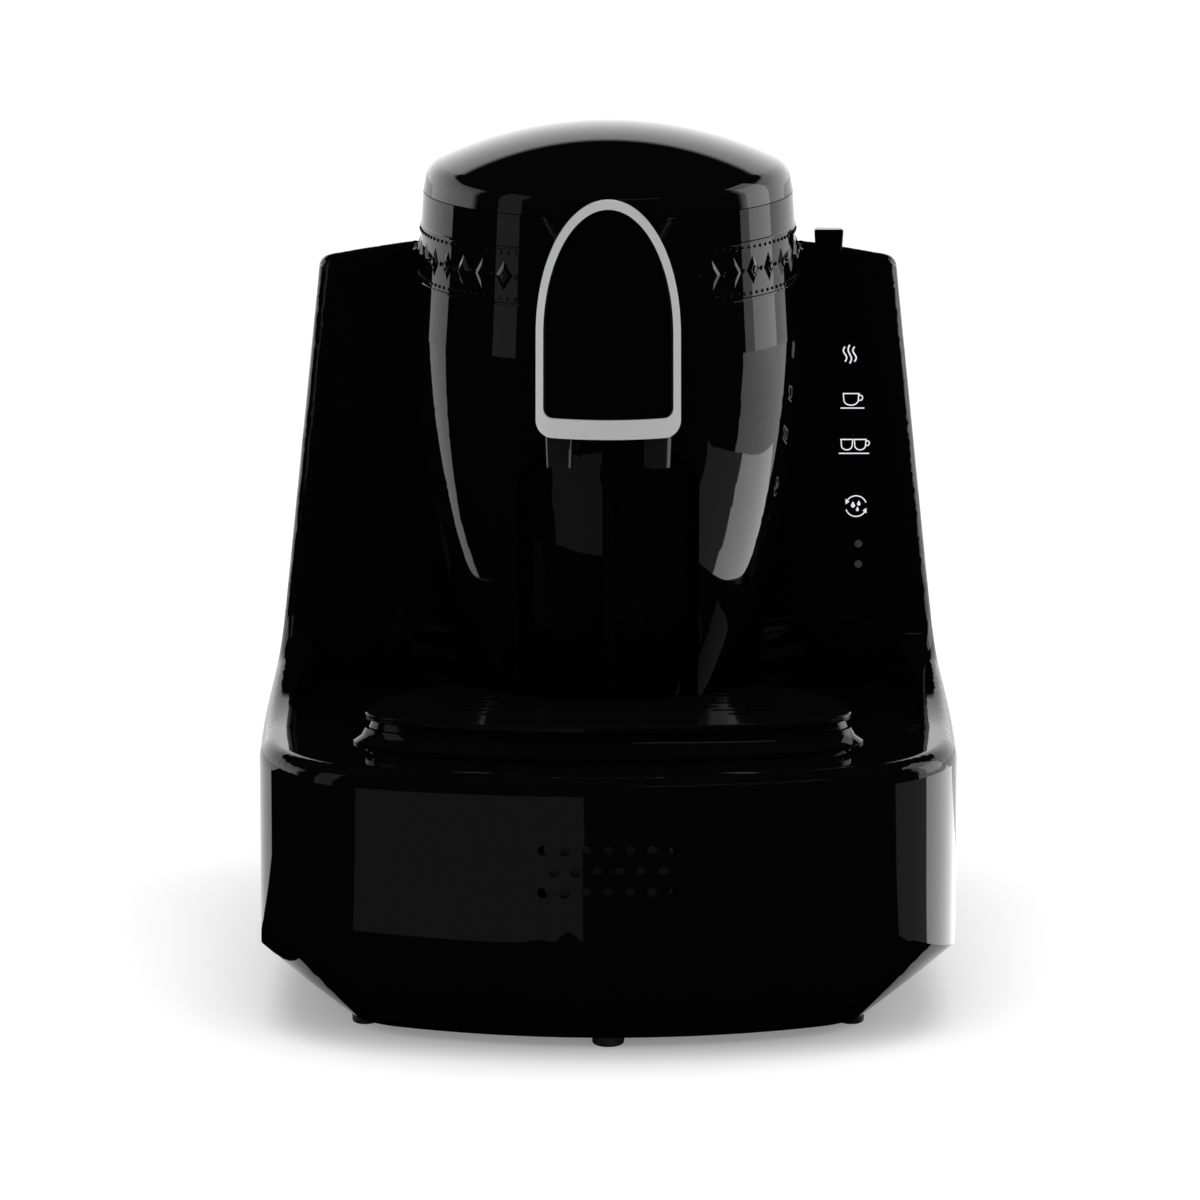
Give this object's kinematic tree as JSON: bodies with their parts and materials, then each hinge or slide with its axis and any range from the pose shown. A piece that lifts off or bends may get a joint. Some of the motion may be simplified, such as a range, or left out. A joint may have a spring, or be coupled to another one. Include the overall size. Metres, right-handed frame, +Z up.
{
  "type": "electric turkish coffee maker",
  "caption": "Countertop electric Turkish coffee maker: domed lid over a brewing pot on a waisted column, twin nozzles over a drip tray, rear housing with lift-out water tank.",
  "frame": {"origin": "on the table, under the middle of the body's width and depth", "axes": "+Z up, -Y towards the user (nozzles and drip tray), +X to the user's right (touch symbols and grip tab)"},
  "size_m": [0.245, 0.285, 0.306],
  "materials": {
    "black_shell": "high gloss moulded black",
    "collar_black": "high gloss black with a faint embossed band",
    "lid_black": "high gloss moulded black",
    "plaque_black": "high gloss black",
    "nozzle_black": "gloss black",
    "tray_black": "gloss black",
    "satin_chrome": "satin chrome plating on plastic",
    "pot_steel": "drawn stainless steel",
    "screw_steel": "zinc-plated steel",
    "element_steel": "heat-darkened steel",
    "bare_aluminium": "plain",
    "copper": "enamelled copper winding",
    "silicone": "matte silicone",
    "black_rubber": "matte",
    "hose_clear": "milky silicone tube",
    "smoke_clear": "smoke-tinted clear",
    "inner_white": "natural heat-resistant plastic",
    "inner_grey": "matte dark plastic",
    "board_green": "solder-masked board",
    "lens_white": "frosted light pipe"
  },
  "bodies": {
    "housing": {"base_pan": "black_shell", "base_shell": "black_shell", "base_screws": "screw_steel", "body_shell": "black_shell", "column_shell": "black_shell", "collar": "collar_black", "spout_head": "black_shell", "plaque_frame": "satin_chrome", "plaque_insert": "plaque_black", "nozzle_left": "nozzle_black", "nozzle_right": "nozzle_black", "pour_channel": "inner_white", "brew_pot": "pot_steel", "pot_seal": "silicone", "pot_jacket": "bare_aluminium", "heater_plate": "bare_aluminium", "heating_element": "element_steel", "thermostat": "inner_white", "thermal_fuse": "inner_white", "valve_body": "inner_white", "valve_spring": "screw_steel", "solenoid_coil": "copper", "foam_sensor": "inner_grey", "water_inlet": "pot_steel", "lid_hinge_pin": "screw_steel", "tank_dock": "inner_grey", "tank_dock_seal": "silicone", "hose_suction": "hose_clear", "hose_delivery": "hose_clear", "water_pump": "inner_grey", "pump_mounts": "black_rubber", "switch_housing": "inner_grey", "cord_gland": "inner_grey", "speaker": "inner_grey", "power_board": "board_green", "board_components": "inner_grey", "control_board": "board_green", "touch_board": "board_green", "indicator_lenses": "lens_white", "foot_front": "black_rubber", "foot_left": "black_rubber", "foot_right": "black_rubber", "foot_rear_left": "black_rubber", "foot_rear_right": "black_rubber"},
    "lid": {"lid_dome": "lid_black", "lid_liner": "inner_grey", "lid_gasket": "silicone"},
    "water_tank": {"water_tank": "smoke_clear", "tank_valve": "silicone", "tank_hinge_pins": "screw_steel"},
    "tank_cover": {"tank_cover": "black_shell", "cover_tab": "black_shell"},
    "drip_tray": {"drip_tray": "tray_black"},
    "cup_stand": {"cup_stand": "tray_black"},
    "power_rocker": {"power_rocker": "inner_grey"},
    "valve_plunger": {"valve_plunger": "screw_steel"}
  },
  "joints": [
    {"name": "lid_hinge", "type": "hinge", "parent": "housing", "child": "lid", "pos_m": [0, 0.0662, 0.285], "axis": [-1, 0, 0], "range_deg": [0, 70]},
    {"name": "tank_lift", "type": "slide", "parent": "housing", "child": "water_tank", "axis": [0, 0, 1], "range_m": [0, 0.14]},
    {"name": "tank_cover_hinge", "type": "hinge", "parent": "water_tank", "child": "tank_cover", "pos_m": [0, 0.139, 0.2178], "axis": [-1, 0, 0], "range_deg": [0, 80]},
    {"name": "tray_lift", "type": "slide", "parent": "housing", "child": "drip_tray", "axis": [0, 0, 1], "range_m": [0, 0.045]},
    {"name": "cup_stand_lift", "type": "slide", "parent": "drip_tray", "child": "cup_stand", "axis": [0, 0, 1], "range_m": [0, 0.02]},
    {"name": "power_switch", "type": "hinge", "parent": "housing", "child": "power_rocker", "pos_m": [0, 0.1353, 0.072], "axis": [1, 0, 0], "range_deg": [0, 16]},
    {"name": "valve_travel", "type": "slide", "parent": "housing", "child": "valve_plunger", "axis": [0, 0, -1], "range_m": [0, 0.004], "stiffness_N_per_m": 300, "springref_m": -0.004, "deforming": ["valve_spring"]}
  ]
}
